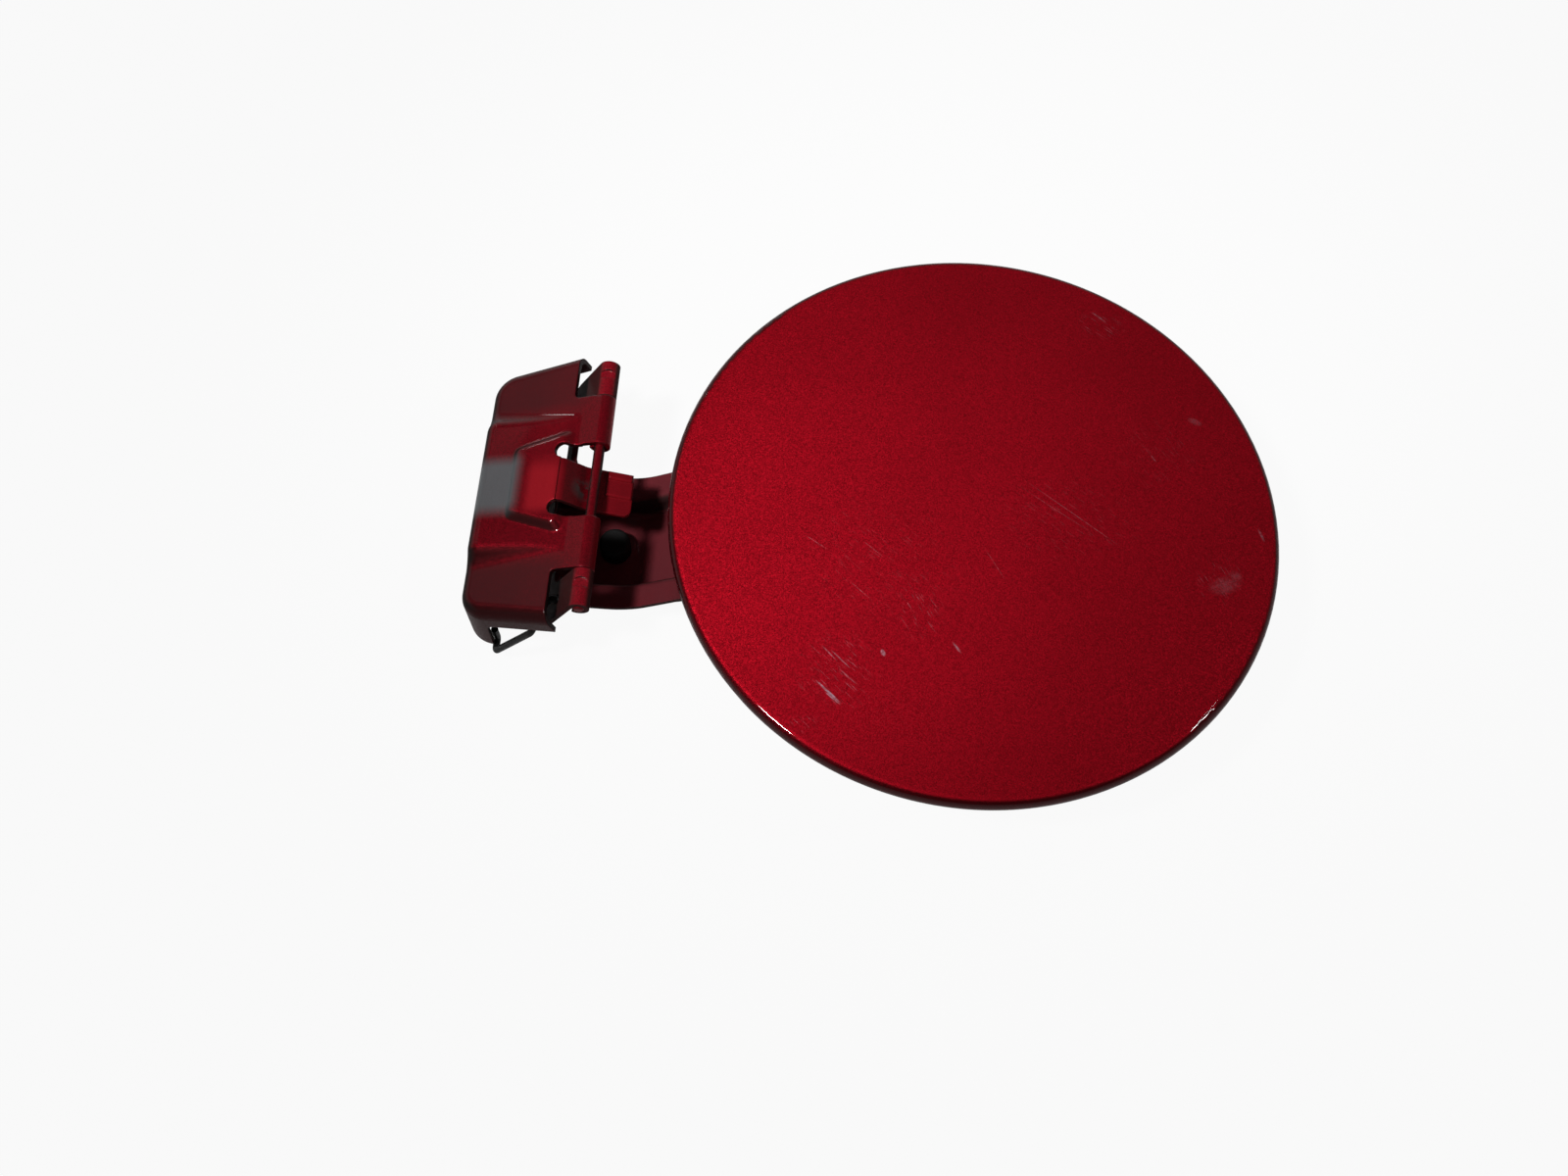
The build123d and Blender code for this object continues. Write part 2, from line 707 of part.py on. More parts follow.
with BuildPart() as inner_panel:
    under = SKIN_T + SHEET_GAP
    field_top = INNER_T - FIELD_DROP
    slope = tan(radians(FIELD_SLOPE))
    flange_r = field_r + (under_skin(field_r, under).Y - field_top) / slope
    with BuildSketch(panel_side):
        with BuildLine():
            FilletPolyline(
                under_skin(panel_r - INNER_INSET, under),
                under_skin(flange_r, under),
                (field_r, field_top),
                (DISH_R + DISH_RISE / slope, field_top),
                (DISH_R, field_top + DISH_RISE),
                (0, field_top + DISH_RISE),
                radius=FIELD_BEND_R,
            )
            offset(amount=INNER_T, side=Side.LEFT)
        make_face()
    revolve(axis=panel_axis)
    with BuildSketch(field(0)):
        with PolarLocations(button_ring, 2, start_angle=-BUTTON_ANGLE, angular_range=4 * BUTTON_ANGLE):
            Circle(BUTTON_NECK_D / 2 + HOLE_GAP)
        with Locations((hook_x, CLIP_SPACING / 2), (hook_x, -CLIP_SPACING / 2)):
            Circle(CLIP_D / 2 + HOLE_GAP)
    extrude(amount=2 * INNER_T, both=True, mode=Mode.SUBTRACT)

with BuildPart() as latch_striker:
    tab_end = -FIELD_DROP - STRIKER_DROP
    with BuildSketch(panel_side):
        with BuildLine():
            FilletPolyline(
                (striker_x - STRIKER_BASE, -FIELD_DROP),
                (striker_x, -FIELD_DROP),
                (striker_x, tab_end),
                radius=STRIKER_BEND_R,
            )
            offset(amount=STRIKER_T, side=Side.RIGHT)
        make_face()
    extrude(amount=STRIKER_W / 2, both=True)
    base_end = latch_striker.faces().sort_by(Axis.X)[0]
    fillet(base_end.edges().filter_by(Axis.Z), STRIKER_CORNER_R)
    tab_foot = latch_striker.faces().sort_by(Axis.Z)[0]
    fillet(tab_foot.edges().filter_by(Axis.X), STRIKER_CORNER_R)
    slot_z = rim_z + tab_end + STRIKER_LAND + STRIKER_SLOT_H / 2
    with BuildSketch(Plane((panel_x + striker_x, neck_y, slot_z), x_dir=(0, 1, 0), z_dir=(1, 0, 0))):
        RectangleRounded(STRIKER_SLOT_W, STRIKER_SLOT_H, STRIKER_SLOT_R)
    extrude(amount=2 * STRIKER_T, both=True, mode=Mode.SUBTRACT)

with BuildPart() as edge_bumpers:
    for angle in (BUTTON_ANGLE, -BUTTON_ANGLE):
        button_x = panel_x + button_ring * cos(radians(angle))
        button_y = neck_y + button_ring * sin(radians(angle))
        foot = (button_x, button_y, rim_z - FIELD_DROP)
        with BuildSketch(Plane(foot, x_dir=(1, 0, 0), z_dir=(0, -1, 0))):
            with BuildLine():
                section = button_section(BUTTON_D / 2, BUTTON_H, BUTTON_NECK_D / 2, INNER_T)
                Polyline(*section, close=True)
            make_face()
        revolve(axis=Axis(foot, (0, 0, 1)))
    fillet(edge_bumpers.edges().group_by(Axis.Z)[0], BUTTON_EDGE_R)

with BuildPart() as stop_bumper:
    foot = (HINGE_X + STOP_X, neck_y, HINGE_Z + floor_z)
    with BuildSketch(Plane(foot, x_dir=(1, 0, 0), z_dir=(0, 1, 0))):
        with BuildLine():
            Polyline(*button_section(STOP_D / 2, STOP_H, STOP_NECK_D / 2, ARM_T), close=True)
        make_face()
    revolve(axis=Axis(foot, (0, 0, 1)))
    fillet(stop_bumper.edges().group_by(Axis.Z)[-1], BUTTON_EDGE_R)

with BuildPart() as cap_hook:
    with BuildSketch(field(0)):
        with Locations((hook_x, 0)):
            RectangleRounded(HOOK_BASE_L, HOOK_BASE_W, HOOK_BASE_R)
    extrude(amount=-HOOK_BASE_T)
    hook_back = hook_x - HOOK_REACH / 2
    with BuildSketch(panel_side):
        with BuildLine():
            FilletPolyline(
                (hook_back, -FIELD_DROP - HOOK_BASE_T / 2),
                (hook_back, -FIELD_DROP - HOOK_DROP),
                (hook_back + HOOK_REACH, -FIELD_DROP - HOOK_DROP),
                (hook_back + HOOK_REACH, -FIELD_DROP - HOOK_DROP + HOOK_TIP),
                radius=HOOK_BEND_R,
            )
            offset(amount=HOOK_T, side=Side.LEFT)
        make_face()
    extrude(amount=HOOK_W / 2, both=True)
    for side in (1, -1):
        foot = (panel_x + hook_x, neck_y + side * CLIP_SPACING / 2, rim_z - FIELD_DROP)
        with BuildSketch(Plane(foot, x_dir=(1, 0, 0), z_dir=(0, -1, 0))):
            with BuildLine():
                clip_r = CLIP_D / 2
                section = button_section(clip_r + BARB_PROUD, HOOK_BASE_T / 2, clip_r, INNER_T)
                Polyline(*section, close=True)
            make_face()
        revolve(axis=Axis(foot, (0, 0, 1)))

# Spring: hooked under the bracket's side, then up to an eye in the arm's ear
wire_r = WIRE_D / 2
eye_x = wall_top - WIRE_EYE_DROP * lean
hook_in = -HALF_AT_WALL - flare * (HINGE_X + WIRE_HOOK_X) + BRACKET_T + WIRE_GAP + wire_r
hook_out = -HALF_AT_WALL - flare * (SIDE_FLANGE + wire_r) - WIRE_GAP - wire_r
hook_z = wall_foot - WIRE_GAP - wire_r


def from_pin(x, y, z):
    """A point measured from the middle of the pin."""
    return Vector(HINGE_X + x, y, HINGE_Z + z)


with BuildPart() as lid_spring:
    with BuildLine() as wire_path:
        FilletPolyline(
            from_pin(WIRE_HOOK_X, hook_in, hook_z + WIRE_HOOK_UP),
            from_pin(WIRE_HOOK_X, hook_in, hook_z),
            from_pin(WIRE_HOOK_X, hook_out, hook_z),
            from_pin(WIRE_KNEE_X, hook_out, -WIRE_KNEE_DROP),
            from_pin(eye_x - WIRE_TAIL, WIRE_EYE_Y, -WIRE_EYE_DROP),
            from_pin(eye_x + WIRE_TAIL, WIRE_EYE_Y, -WIRE_EYE_DROP),
            radius=[WIRE_HOOK_R, WIRE_HOOK_R, WIRE_BEND_R, WIRE_BEND_R],
        )
    with BuildSketch(Plane(wire_path.line @ 0, z_dir=wire_path.line % 0)):
        Circle(wire_r)
    sweep()

outer_panel.part.label = "outer_panel"
inner_panel.part.label = "inner_panel"
hinge_arm.part.label = "hinge_arm"
hinge_bracket.part.label = "hinge_bracket"
hinge_pin.part.label = "hinge_pin"
latch_striker.part.label = "latch_striker"
edge_bumpers.part.label = "edge_bumpers"
stop_bumper.part.label = "stop_bumper"
cap_hook.part.label = "cap_hook"
lid_spring.part.label = "lid_spring"
os.makedirs("parts", exist_ok=True)
export_step(outer_panel.part, "parts/outer_panel.step")
export_step(inner_panel.part, "parts/inner_panel.step")
export_step(hinge_arm.part, "parts/hinge_arm.step")
export_step(hinge_bracket.part, "parts/hinge_bracket.step")
export_step(hinge_pin.part, "parts/hinge_pin.step")
export_step(latch_striker.part, "parts/latch_striker.step")
export_step(edge_bumpers.part, "parts/edge_bumpers.step")
export_step(stop_bumper.part, "parts/stop_bumper.step")
export_step(cap_hook.part, "parts/cap_hook.step")
export_step(lid_spring.part, "parts/lid_spring.step")
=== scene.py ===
"""Looks of a round car fuel door on its gooseneck hinge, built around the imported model."""

import math

import bpy
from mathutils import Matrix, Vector


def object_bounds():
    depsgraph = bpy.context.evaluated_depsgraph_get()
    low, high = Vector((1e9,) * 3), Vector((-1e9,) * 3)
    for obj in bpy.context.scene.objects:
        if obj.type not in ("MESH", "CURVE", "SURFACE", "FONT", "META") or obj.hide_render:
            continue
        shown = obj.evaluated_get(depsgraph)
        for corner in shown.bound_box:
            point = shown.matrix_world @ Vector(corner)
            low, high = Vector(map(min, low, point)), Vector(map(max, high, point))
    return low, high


MM = 0.001

# Camera, fitted to the photo: metres, degrees, millimetres of lens
CAMERA_PLACE = (0.088875, -0.193348, 0.3765)
CAMERA_TURN = (24.6535, -1.5625, 3.6052)
CAMERA_LENS = 33.75
CAMERA_SENSOR = 36.0
CAMERA_NEAR = 0.01

# Floor and room: metres, and light as a share of white
FLOOR_SIZE = 8.0
FLOOR_X = 0.1
FLOOR_DROP = 0.0005
FLOOR_PALE = (0.7, 0.7, 0.7, 1)
FLOOR_ROUGH = 0.9
FLOOR_GLOW = 0.94
FLOOR_IN_GLOSS = 0.2
ROOM_LIGHT = 0.12
DARK_CEILING = 0.02
HORIZON_LOW = 0.1
HORIZON_HIGH = 0.45

# Places in the shared frame, in millimetres
PANEL_X = 138.0
PANEL_Y = -5.8
RIM_Z = 25.0
EDGE_R = 2.6
LIGHT_POOL = (PANEL_X - 30, PANEL_Y + 70, RIM_Z)
PANEL_MIDDLE = (PANEL_X, PANEL_Y, RIM_Z)
BRACKET_MIDDLE = (20, 0, 10)
BOSS_MIDDLE = (22, 0, 16)

# Spans on the bracket and the arm, in millimetres: where a mask begins and where it ends
BOSS_REAR = (13.5, 17)
BOSS_FRONT = (22, 27)
BOSS_LOWER = (-12, -8)
BOSS_UPPER = (1, 9)
TONGUE_START = (36, 38)
WING_START = (20, 27)
NEAR_PIN = (24, 31)
FLANK_END = (30, 34)
BARE_END = (35, 37)
PATCH_FRONT = (9.5, 14.5)
PATCH_UPPER = (5.0, 10.0)
PATCH_LOWER = (-11.5, -6)
WORN_PLACE = (30.5, -1.0)
WORN_LENGTH = 8.0
WORN_WIDTH = 9.0
CHANNEL_INSIDE = (10, 15)
SHEET_ROUNDING = 0.6

# Scales of the textures, in cells per metre
FLAKE_SCALE = 4200.0
CLOUD_SCALE = 22.0
SCUFF_SCALE = 900.0
BRACKET_BLOTCH = 60.0
ARM_BLOTCH = 90.0
INNER_BLOTCH = 40.0
WORN_SCALE = 350.0

# Paint colours, linear
RED_DEEP = (0.36, 0.0022, 0.0096, 1)
RED_BRIGHT = (0.84, 0.0080, 0.030, 1)
WINE_DEEP = (0.16, 0.003, 0.008, 1)
WINE_BRIGHT = (0.36, 0.006, 0.017, 1)
# Painted highlight, laid on the bracket's boss and tongue
HIGHLIGHT_RED = (0.56, 0.016, 0.028, 1)
# Dark primer colour on faces that do not look up: partly thin paint, partly painted shade
PRIMER_AND_SHADE = (0.020, 0.014, 0.013, 1)
WORN = (0.09, 0.06, 0.06, 1)
THIN_RED = (0.125, 0.012, 0.016, 1)
DULL_RED = (0.17, 0.026, 0.034, 1)
GREY = (0.22, 0.238, 0.25, 1)
SCUFF = (0.72, 0.44, 0.54, 1)
# Painted shade, laid on the panel's rolled edge and on the bracket's lower flank
SHADE_RED = (0.05, 0.0012, 0.003, 1)

# Scuffs on the panel: place from its middle, length, width (mm), turn (degrees), weight
SCUFFS = (
    (-37.6, -54.6, 7.5, 0.7, -40, 0.9),
    (-36.4, -55.7, 9.0, 0.8, -40, 1.0),
    (-35.6, -57.0, 6.5, 0.5, -38, 0.8),
    (-34.0, -46.5, 8.0, 0.5, -42, 0.6),
    (-37.0, -45.0, 7.0, 0.5, -44, 0.4),
    (-32.0, -51.0, 8.0, 0.4, -40, 0.35),
    (-23.3, -44.1, 2.4, 1.5, -60, 0.8),
    (-4.5, -41.4, 4.5, 0.9, -52, 0.7),
    (35.1, 64.9, 6.0, 0.9, -38, 0.4),
    (77.0, -2.0, 5.0, 1.0, -68, 0.35),
    (48.6, 18.6, 3.0, 0.5, -55, 0.4),
    (60.8, 31.8, 5.0, 2.5, -20, 0.18),
    (66.0, -18.0, 11.0, 6.0, 20, 0.15),
    (69.0, -15.0, 5.0, 4.0, -30, 0.14),
)
# Long hairlines, with the same columns
LONG_SCRATCHES = (
    (26.0, -0.5, 36.0, 0.28, -35.0, 0.35),
    (21.0, 0.5, 26.0, 0.25, -33.0, 0.25),
    (5.0, -17.0, 14.0, 0.25, -58.0, 0.2),
    (-42.0, -14.0, 9.0, 0.25, -32.0, 0.3),
    (-27.0, -15.0, 8.0, 0.25, -38.0, 0.3),
    (-30.0, -27.0, 10.0, 0.25, -40.0, 0.25),
)
# Patches of fine parallel scratches: place, width, height (mm), turn (degrees), weight
HAIR_PATCHES = (
    (-35.0, -49.0, 26.0, 26.0, -42, 0.42),
    (-14.5, -31.5, 17.0, 21.0, -56, 0.4),
    (-42.0, -64.0, 9.0, 6.0, -42, 0.8),
    (64.0, -16.0, 22.0, 18.0, -60, 0.36),
    (25.0, -2.0, 50.0, 34.0, -35, 0.14),
    (-25.0, -18.0, 60.0, 50.0, -38, 0.09),
    (36.0, 62.0, 18.0, 14.0, -36, 0.35),
    (50.0, 20.0, 30.0, 30.0, -52, 0.13),
)
HAIR_LENGTH = 4.5
HAIR_WIDTH = 0.26

# Sockets of a colour mix node
MIX_AMOUNT, MIX_FIRST, MIX_SECOND, MIX_RESULT = 0, 6, 7, 2

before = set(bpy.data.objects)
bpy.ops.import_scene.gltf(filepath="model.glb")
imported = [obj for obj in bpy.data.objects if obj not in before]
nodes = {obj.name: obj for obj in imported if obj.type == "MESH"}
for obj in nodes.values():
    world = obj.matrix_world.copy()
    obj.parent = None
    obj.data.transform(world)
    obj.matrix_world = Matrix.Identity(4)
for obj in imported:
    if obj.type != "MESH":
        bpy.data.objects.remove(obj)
cad_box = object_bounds()


# Small helpers for node trees


def put(tree, socket, value):
    """Sets a socket to a number or colour, or links it to another socket."""
    if isinstance(value, bpy.types.NodeSocket):
        tree.links.new(value, socket)
    else:
        socket.default_value = value


def math_node(tree, operation, first, second=0.0, clamp=False):
    node = tree.nodes.new("ShaderNodeMath")
    node.operation = operation
    node.use_clamp = clamp
    put(tree, node.inputs[0], first)
    put(tree, node.inputs[1], second)
    return node.outputs[0]


def times(tree, product, *factors):
    """The product of several values."""
    for factor in factors:
        product = math_node(tree, "MULTIPLY", product, factor)
    return product


def largest(tree, most, *others):
    """The largest of several values."""
    for other in others:
        most = math_node(tree, "MAXIMUM", most, other)
    return most


def one_minus(tree, value):
    return math_node(tree, "SUBTRACT", 1.0, value)


def vector_node(tree, operation, first, second=(0, 0, 0)):
    node = tree.nodes.new("ShaderNodeVectorMath")
    node.operation = operation
    put(tree, node.inputs[0], first)
    put(tree, node.inputs[1], second)
    return node.outputs["Value" if operation in ("LENGTH", "DOT_PRODUCT") else "Vector"]


def scaled(tree, vector, amount):
    node = tree.nodes.new("ShaderNodeVectorMath")
    node.operation = "SCALE"
    put(tree, node.inputs[0], vector)
    put(tree, node.inputs["Scale"], amount)
    return node.outputs["Vector"]


def part_of(tree, vector, axis):
    """One of a vector's three parts."""
    node = tree.nodes.new("ShaderNodeSeparateXYZ")
    put(tree, node.inputs[0], vector)
    return node.outputs[axis]


def mix_colour(tree, amount, first, second):
    node = tree.nodes.new("ShaderNodeMix")
    node.data_type = "RGBA"
    put(tree, node.inputs[MIX_AMOUNT], amount)
    put(tree, node.inputs[MIX_FIRST], first)
    put(tree, node.inputs[MIX_SECOND], second)
    return node.outputs[MIX_RESULT]


def ramp(tree, value, low, high, low_out=0.0, high_out=1.0):
    """Maps a range of a value smoothly on another range, held at both ends."""
    node = tree.nodes.new("ShaderNodeMapRange")
    node.interpolation_type = "SMOOTHSTEP"
    put(tree, node.inputs["Value"], value)
    node.inputs["From Min"].default_value = low
    node.inputs["From Max"].default_value = high
    node.inputs["To Min"].default_value = low_out
    node.inputs["To Max"].default_value = high_out
    return node.outputs["Result"]


def across_span(tree, value, span, low_out=0.0, high_out=1.0):
    """A ramp over a span of places in millimetres."""
    return ramp(tree, value, span[0] * MM, span[1] * MM, low_out, high_out)


def mapped(tree, coords, location=(0, 0, 0), rotation=(0, 0, 0), scale=(1, 1, 1)):
    node = tree.nodes.new("ShaderNodeMapping")
    node.vector_type = "TEXTURE"
    put(tree, node.inputs["Vector"], coords)
    node.inputs["Location"].default_value = location
    node.inputs["Rotation"].default_value = rotation
    node.inputs["Scale"].default_value = scale
    return node.outputs["Vector"]


def noise(tree, coords, scale, detail=3.0, rough=0.5):
    node = tree.nodes.new("ShaderNodeTexNoise")
    put(tree, node.inputs["Vector"], coords)
    node.inputs["Scale"].default_value = scale
    node.inputs["Detail"].default_value = detail
    node.inputs["Roughness"].default_value = rough
    return node.outputs["Fac"]


def bump(tree, height, strength, distance):
    node = tree.nodes.new("ShaderNodeBump")
    node.inputs["Strength"].default_value = strength
    node.inputs["Distance"].default_value = distance
    put(tree, node.inputs["Height"], height)
    return node.outputs["Normal"]


class Finish:
    """A node material that gathers a colour and a roughness before it is wired up."""

    def __init__(self, name, colour, rough):
        self.material = bpy.data.materials.new(name)
        self.material.use_nodes = True
        self.tree = self.material.node_tree
        self.tree.nodes.clear()
        self.output = self.tree.nodes.new("ShaderNodeOutputMaterial")
        self.shader = self.tree.nodes.new("ShaderNodeBsdfPrincipled")
        places = self.tree.nodes.new("ShaderNodeTexCoord")
        self.coords = places.outputs["Object"]
        self.normal = places.outputs["Normal"]
        self.colour = colour
        self.rough = rough

    def axis(self, name):
        """One of the object's own coordinates, in metres."""
        return part_of(self.tree, self.coords, name)

    def facing(self, name):
        """How far a face looks along one of the object's own axes."""
        return part_of(self.tree, self.normal, name)

    def lay(self, mask, colour, rough=None):
        """Covers the finish with a colour, and a roughness, where a mask is one."""
        self.colour = mix_colour(self.tree, mask, self.colour, colour)
        if rough is not None:
            gain = times(self.tree, mask, rough)
            kept = times(self.tree, one_minus(self.tree, mask), self.rough)
            self.rough = math_node(self.tree, "ADD", kept, gain)

    def streak(self, place, length, width, turn, soft=0.35):
        """A mask that is one along the middle of a thin ellipse seen from above."""
        spot = mapped(
            self.tree,
            self.coords,
            location=(place[0] * MM, place[1] * MM, 0),
            rotation=(0, 0, math.radians(turn)),
            scale=(length * MM / 2, width * MM / 2, 1),
        )
        return ramp(self.tree, vector_node(self.tree, "LENGTH", spot), soft, 1.0, 1.0, 0.0)

    def done(self):
        put(self.tree, self.shader.inputs["Base Color"], self.colour)
        put(self.tree, self.shader.inputs["Roughness"], self.rough)
        self.tree.links.new(self.shader.outputs["BSDF"], self.output.inputs["Surface"])
        return self.material


# Camera, floor and light


def set_camera():
    data = bpy.data.cameras.new("photo_camera")
    data.sensor_fit = "HORIZONTAL"
    data.sensor_width = CAMERA_SENSOR
    data.lens = CAMERA_LENS
    data.clip_start = CAMERA_NEAR
    camera = bpy.data.objects.new("photo_camera", data)
    bpy.context.scene.collection.objects.link(camera)
    camera.location = CAMERA_PLACE
    camera.rotation_euler = [math.radians(angle) for angle in CAMERA_TURN]
    bpy.context.scene.camera = camera


def lay_floor():
    """A pale floor that the camera and gloss see as white, with the object's shadow on it."""
    bpy.ops.object.select_all(action="DESELECT")
    lowest = cad_box[0][2]
    place = (FLOOR_X, 0, lowest - FLOOR_DROP)
    bpy.ops.mesh.primitive_plane_add(size=FLOOR_SIZE, location=place)
    floor = bpy.context.object
    floor.name = "floor"
    pale = Finish("pale_floor", FLOOR_PALE, FLOOR_ROUGH)
    material = pale.done()
    tree = pale.tree
    path = tree.nodes.new("ShaderNodeLightPath")
    gloss = times(tree, path.outputs["Is Glossy Ray"], FLOOR_IN_GLOSS)
    straight = path.outputs["Is Camera Ray"]
    seen = largest(tree, straight, gloss, path.outputs["Is Transmission Ray"])
    glow = tree.nodes.new("ShaderNodeEmission")
    glow.inputs["Strength"].default_value = 1.0
    shadowed = tree.nodes.new("ShaderNodeMixShader")
    shadowed.inputs[0].default_value = FLOOR_GLOW
    tree.links.new(pale.shader.outputs["BSDF"], shadowed.inputs[1])
    tree.links.new(glow.outputs[0], shadowed.inputs[2])
    mix = tree.nodes.new("ShaderNodeMixShader")
    tree.links.new(seen, mix.inputs[0])
    tree.links.new(pale.shader.outputs["BSDF"], mix.inputs[1])
    tree.links.new(shadowed.outputs[0], mix.inputs[2])
    tree.links.new(mix.outputs[0], pale.output.inputs["Surface"])
    floor.data.materials.append(material)


def aim_lamp(name, data, aim, direction, distance):
    lamp = bpy.data.objects.new(name, data)
    bpy.context.scene.collection.objects.link(lamp)
    target = Vector(aim) * MM
    lamp.location = target + Vector(direction).normalized() * distance
    lamp.rotation_euler = (target - lamp.location).to_track_quat("-Z", "Y").to_euler()


def add_spot(name, aim, direction, distance, radius, cone, power):
    """A round lamp whose pool of light fades softly to its edge."""
    data = bpy.data.lights.new(name, "SPOT")
    data.shadow_soft_size = radius
    data.spot_size = math.radians(cone)
    data.spot_blend = 1.0
    data.energy = power
    aim_lamp(name, data, aim, direction, distance)


def add_card(name, aim, direction, distance, size, power):
    """A dim card of light that the glossy wings mirror."""
    data = bpy.data.lights.new(name, "AREA")
    data.shape = "RECTANGLE"
    data.size, data.size_y = size
    data.energy = power
    aim_lamp(name, data, aim, direction, distance)


def set_world():
    """White to the camera, a pale band low down in gloss, and a dim room for matt faces."""
    world = bpy.data.worlds.new("studio")
    bpy.context.scene.world = world
    world.use_nodes = True
    tree = world.node_tree
    back = tree.nodes["Background"]
    back.inputs["Color"].default_value = (1, 1, 1, 1)
    height = part_of(tree, tree.nodes.new("ShaderNodeTexCoord").outputs["Generated"], "Z")
    horizon = ramp(tree, height, HORIZON_LOW, HORIZON_HIGH, FLOOR_IN_GLOSS, DARK_CEILING)
    path = tree.nodes.new("ShaderNodeLightPath")
    gloss = path.outputs["Is Glossy Ray"]
    mirrored = times(tree, gloss, horizon)
    matt = times(tree, one_minus(tree, gloss), ROOM_LIGHT)
    straight = path.outputs["Is Camera Ray"]
    strength = largest(tree, straight, path.outputs["Is Transmission Ray"], mirrored, matt)
    put(tree, back.inputs["Strength"], strength)


def set_lights():
    """A soft key from the left, a fill from the right, and two faint lights for gloss."""
    add_spot(
        "key_lamp",
        aim=LIGHT_POOL,
        direction=(-0.42, -0.32, 0.85),
        distance=1.0,
        radius=0.07,
        cone=22.4,
        power=36.0,
    )
    add_spot(
        "side_lamp",
        aim=PANEL_MIDDLE,
        direction=(0.71, -0.10, 0.69),
        distance=1.2,
        radius=0.06,
        cone=30.0,
        power=5.0,
    )
    add_card(
        "window_card",
        aim=BRACKET_MIDDLE,
        direction=(-0.68, 0.47, 0.56),
        distance=1.5,
        size=(0.55, 0.40),
        power=0.075,
    )
    add_spot(
        "glint_lamp",
        aim=BOSS_MIDDLE,
        direction=(-0.55, 0.75, 0.35),
        distance=1.2,
        radius=0.025,
        cone=5.0,
        power=0.3,
    )


# Normals for the paints


def surface(paint):
    """The normal of the mesh as it is."""
    return paint.tree.nodes.new("ShaderNodeNewGeometry").outputs["Normal"]


def softened(paint):
    """A normal that rounds the cut edges of sheet metal."""
    node = paint.tree.nodes.new("ShaderNodeBevel")
    node.samples = 6
    node.inputs["Radius"].default_value = SHEET_ROUNDING * MM
    return node.outputs["Normal"]


def rolled(paint):
    """The exact normal of the panel's rolled edge, which keeps its highlights smooth."""
    tree = paint.tree
    flat = surface(paint)
    away = vector_node(tree, "SUBTRACT", paint.coords, [place * MM for place in PANEL_MIDDLE])
    radial = vector_node(tree, "NORMALIZE", vector_node(tree, "MULTIPLY", away, (1, 1, 0)))
    height = part_of(tree, away, "Z")
    lift = math_node(tree, "DIVIDE", height, EDGE_R * MM, clamp=True)
    side = math_node(tree, "SQRT", one_minus(tree, times(tree, lift, lift)))
    upward = tree.nodes.new("ShaderNodeCombineXYZ")
    put(tree, upward.inputs["Z"], lift)
    turn = tree.nodes.new("ShaderNodeVectorTransform")
    turn.vector_type = "NORMAL"
    turn.convert_from = "OBJECT"
    turn.convert_to = "WORLD"
    outward = vector_node(tree, "ADD", scaled(tree, radial, side), upward.outputs[0])
    put(tree, turn.inputs[0], outward)
    exact = vector_node(tree, "NORMALIZE", turn.outputs[0])
    outside = ramp(tree, lift, 0.99, 0.9975, 1.0, 0.0)
    above = math_node(tree, "GREATER_THAN", height, 0.0)
    alike = ramp(tree, vector_node(tree, "DOT_PRODUCT", flat, exact), 0.5, 0.8)
    mask = times(tree, outside, above, alike)
    shift = scaled(tree, vector_node(tree, "SUBTRACT", exact, flat), mask)
    return vector_node(tree, "NORMALIZE", vector_node(tree, "ADD", flat, shift))


# Finishes


def flake_paint(name, deep, bright, rough, coat_rough, metal=0.9, lean=0.32, shape=surface):
    """Metallic paint: tilted flakes in colour under a smooth clear coat."""
    paint = Finish(name, deep, rough)
    tree = paint.tree
    flakes = tree.nodes.new("ShaderNodeTexVoronoi")
    put(tree, flakes.inputs["Vector"], paint.coords)
    flakes.inputs["Scale"].default_value = FLAKE_SCALE
    tint = tree.nodes.new("ShaderNodeSeparateColor")
    tree.links.new(flakes.outputs["Color"], tint.inputs[0])
    cloud = ramp(tree, noise(tree, paint.coords, CLOUD_SCALE), 0.3, 0.7, 0.75, 1.0)
    sparkle = times(tree, tint.outputs[0], cloud)
    paint.colour = mix_colour(tree, sparkle, deep, bright)
    tilt = vector_node(tree, "SUBTRACT", flakes.outputs["Color"], (0.5, 0.5, 0.5))
    flat = shape(paint)
    leaning = vector_node(tree, "ADD", flat, scaled(tree, tilt, lean))
    put(tree, paint.shader.inputs["Normal"], vector_node(tree, "NORMALIZE", leaning))
    put(tree, paint.shader.inputs["Coat Normal"], flat)
    paint.shader.inputs["Metallic"].default_value = metal
    paint.shader.inputs["Specular IOR Level"].default_value = 0.1
    paint.shader.inputs["Coat Weight"].default_value = 1.0
    paint.shader.inputs["Coat Roughness"].default_value = coat_rough
    paint.shader.inputs["Coat IOR"].default_value = 1.5
    return paint


def facing_up_mask(paint, low, high):
    """A mask of the faces that look up, where spray from above lies thickest; it also sets
    where painted shade falls.
    """
    return ramp(paint.tree, paint.facing("Z"), low, high)


def spray_coat(paint, up_mask, least, most):
    """Clear coat that is thinner where little spray reached."""
    weight = ramp(paint.tree, up_mask, 0.0, 1.0, least, most)
    put(paint.tree, paint.shader.inputs["Coat Weight"], weight)


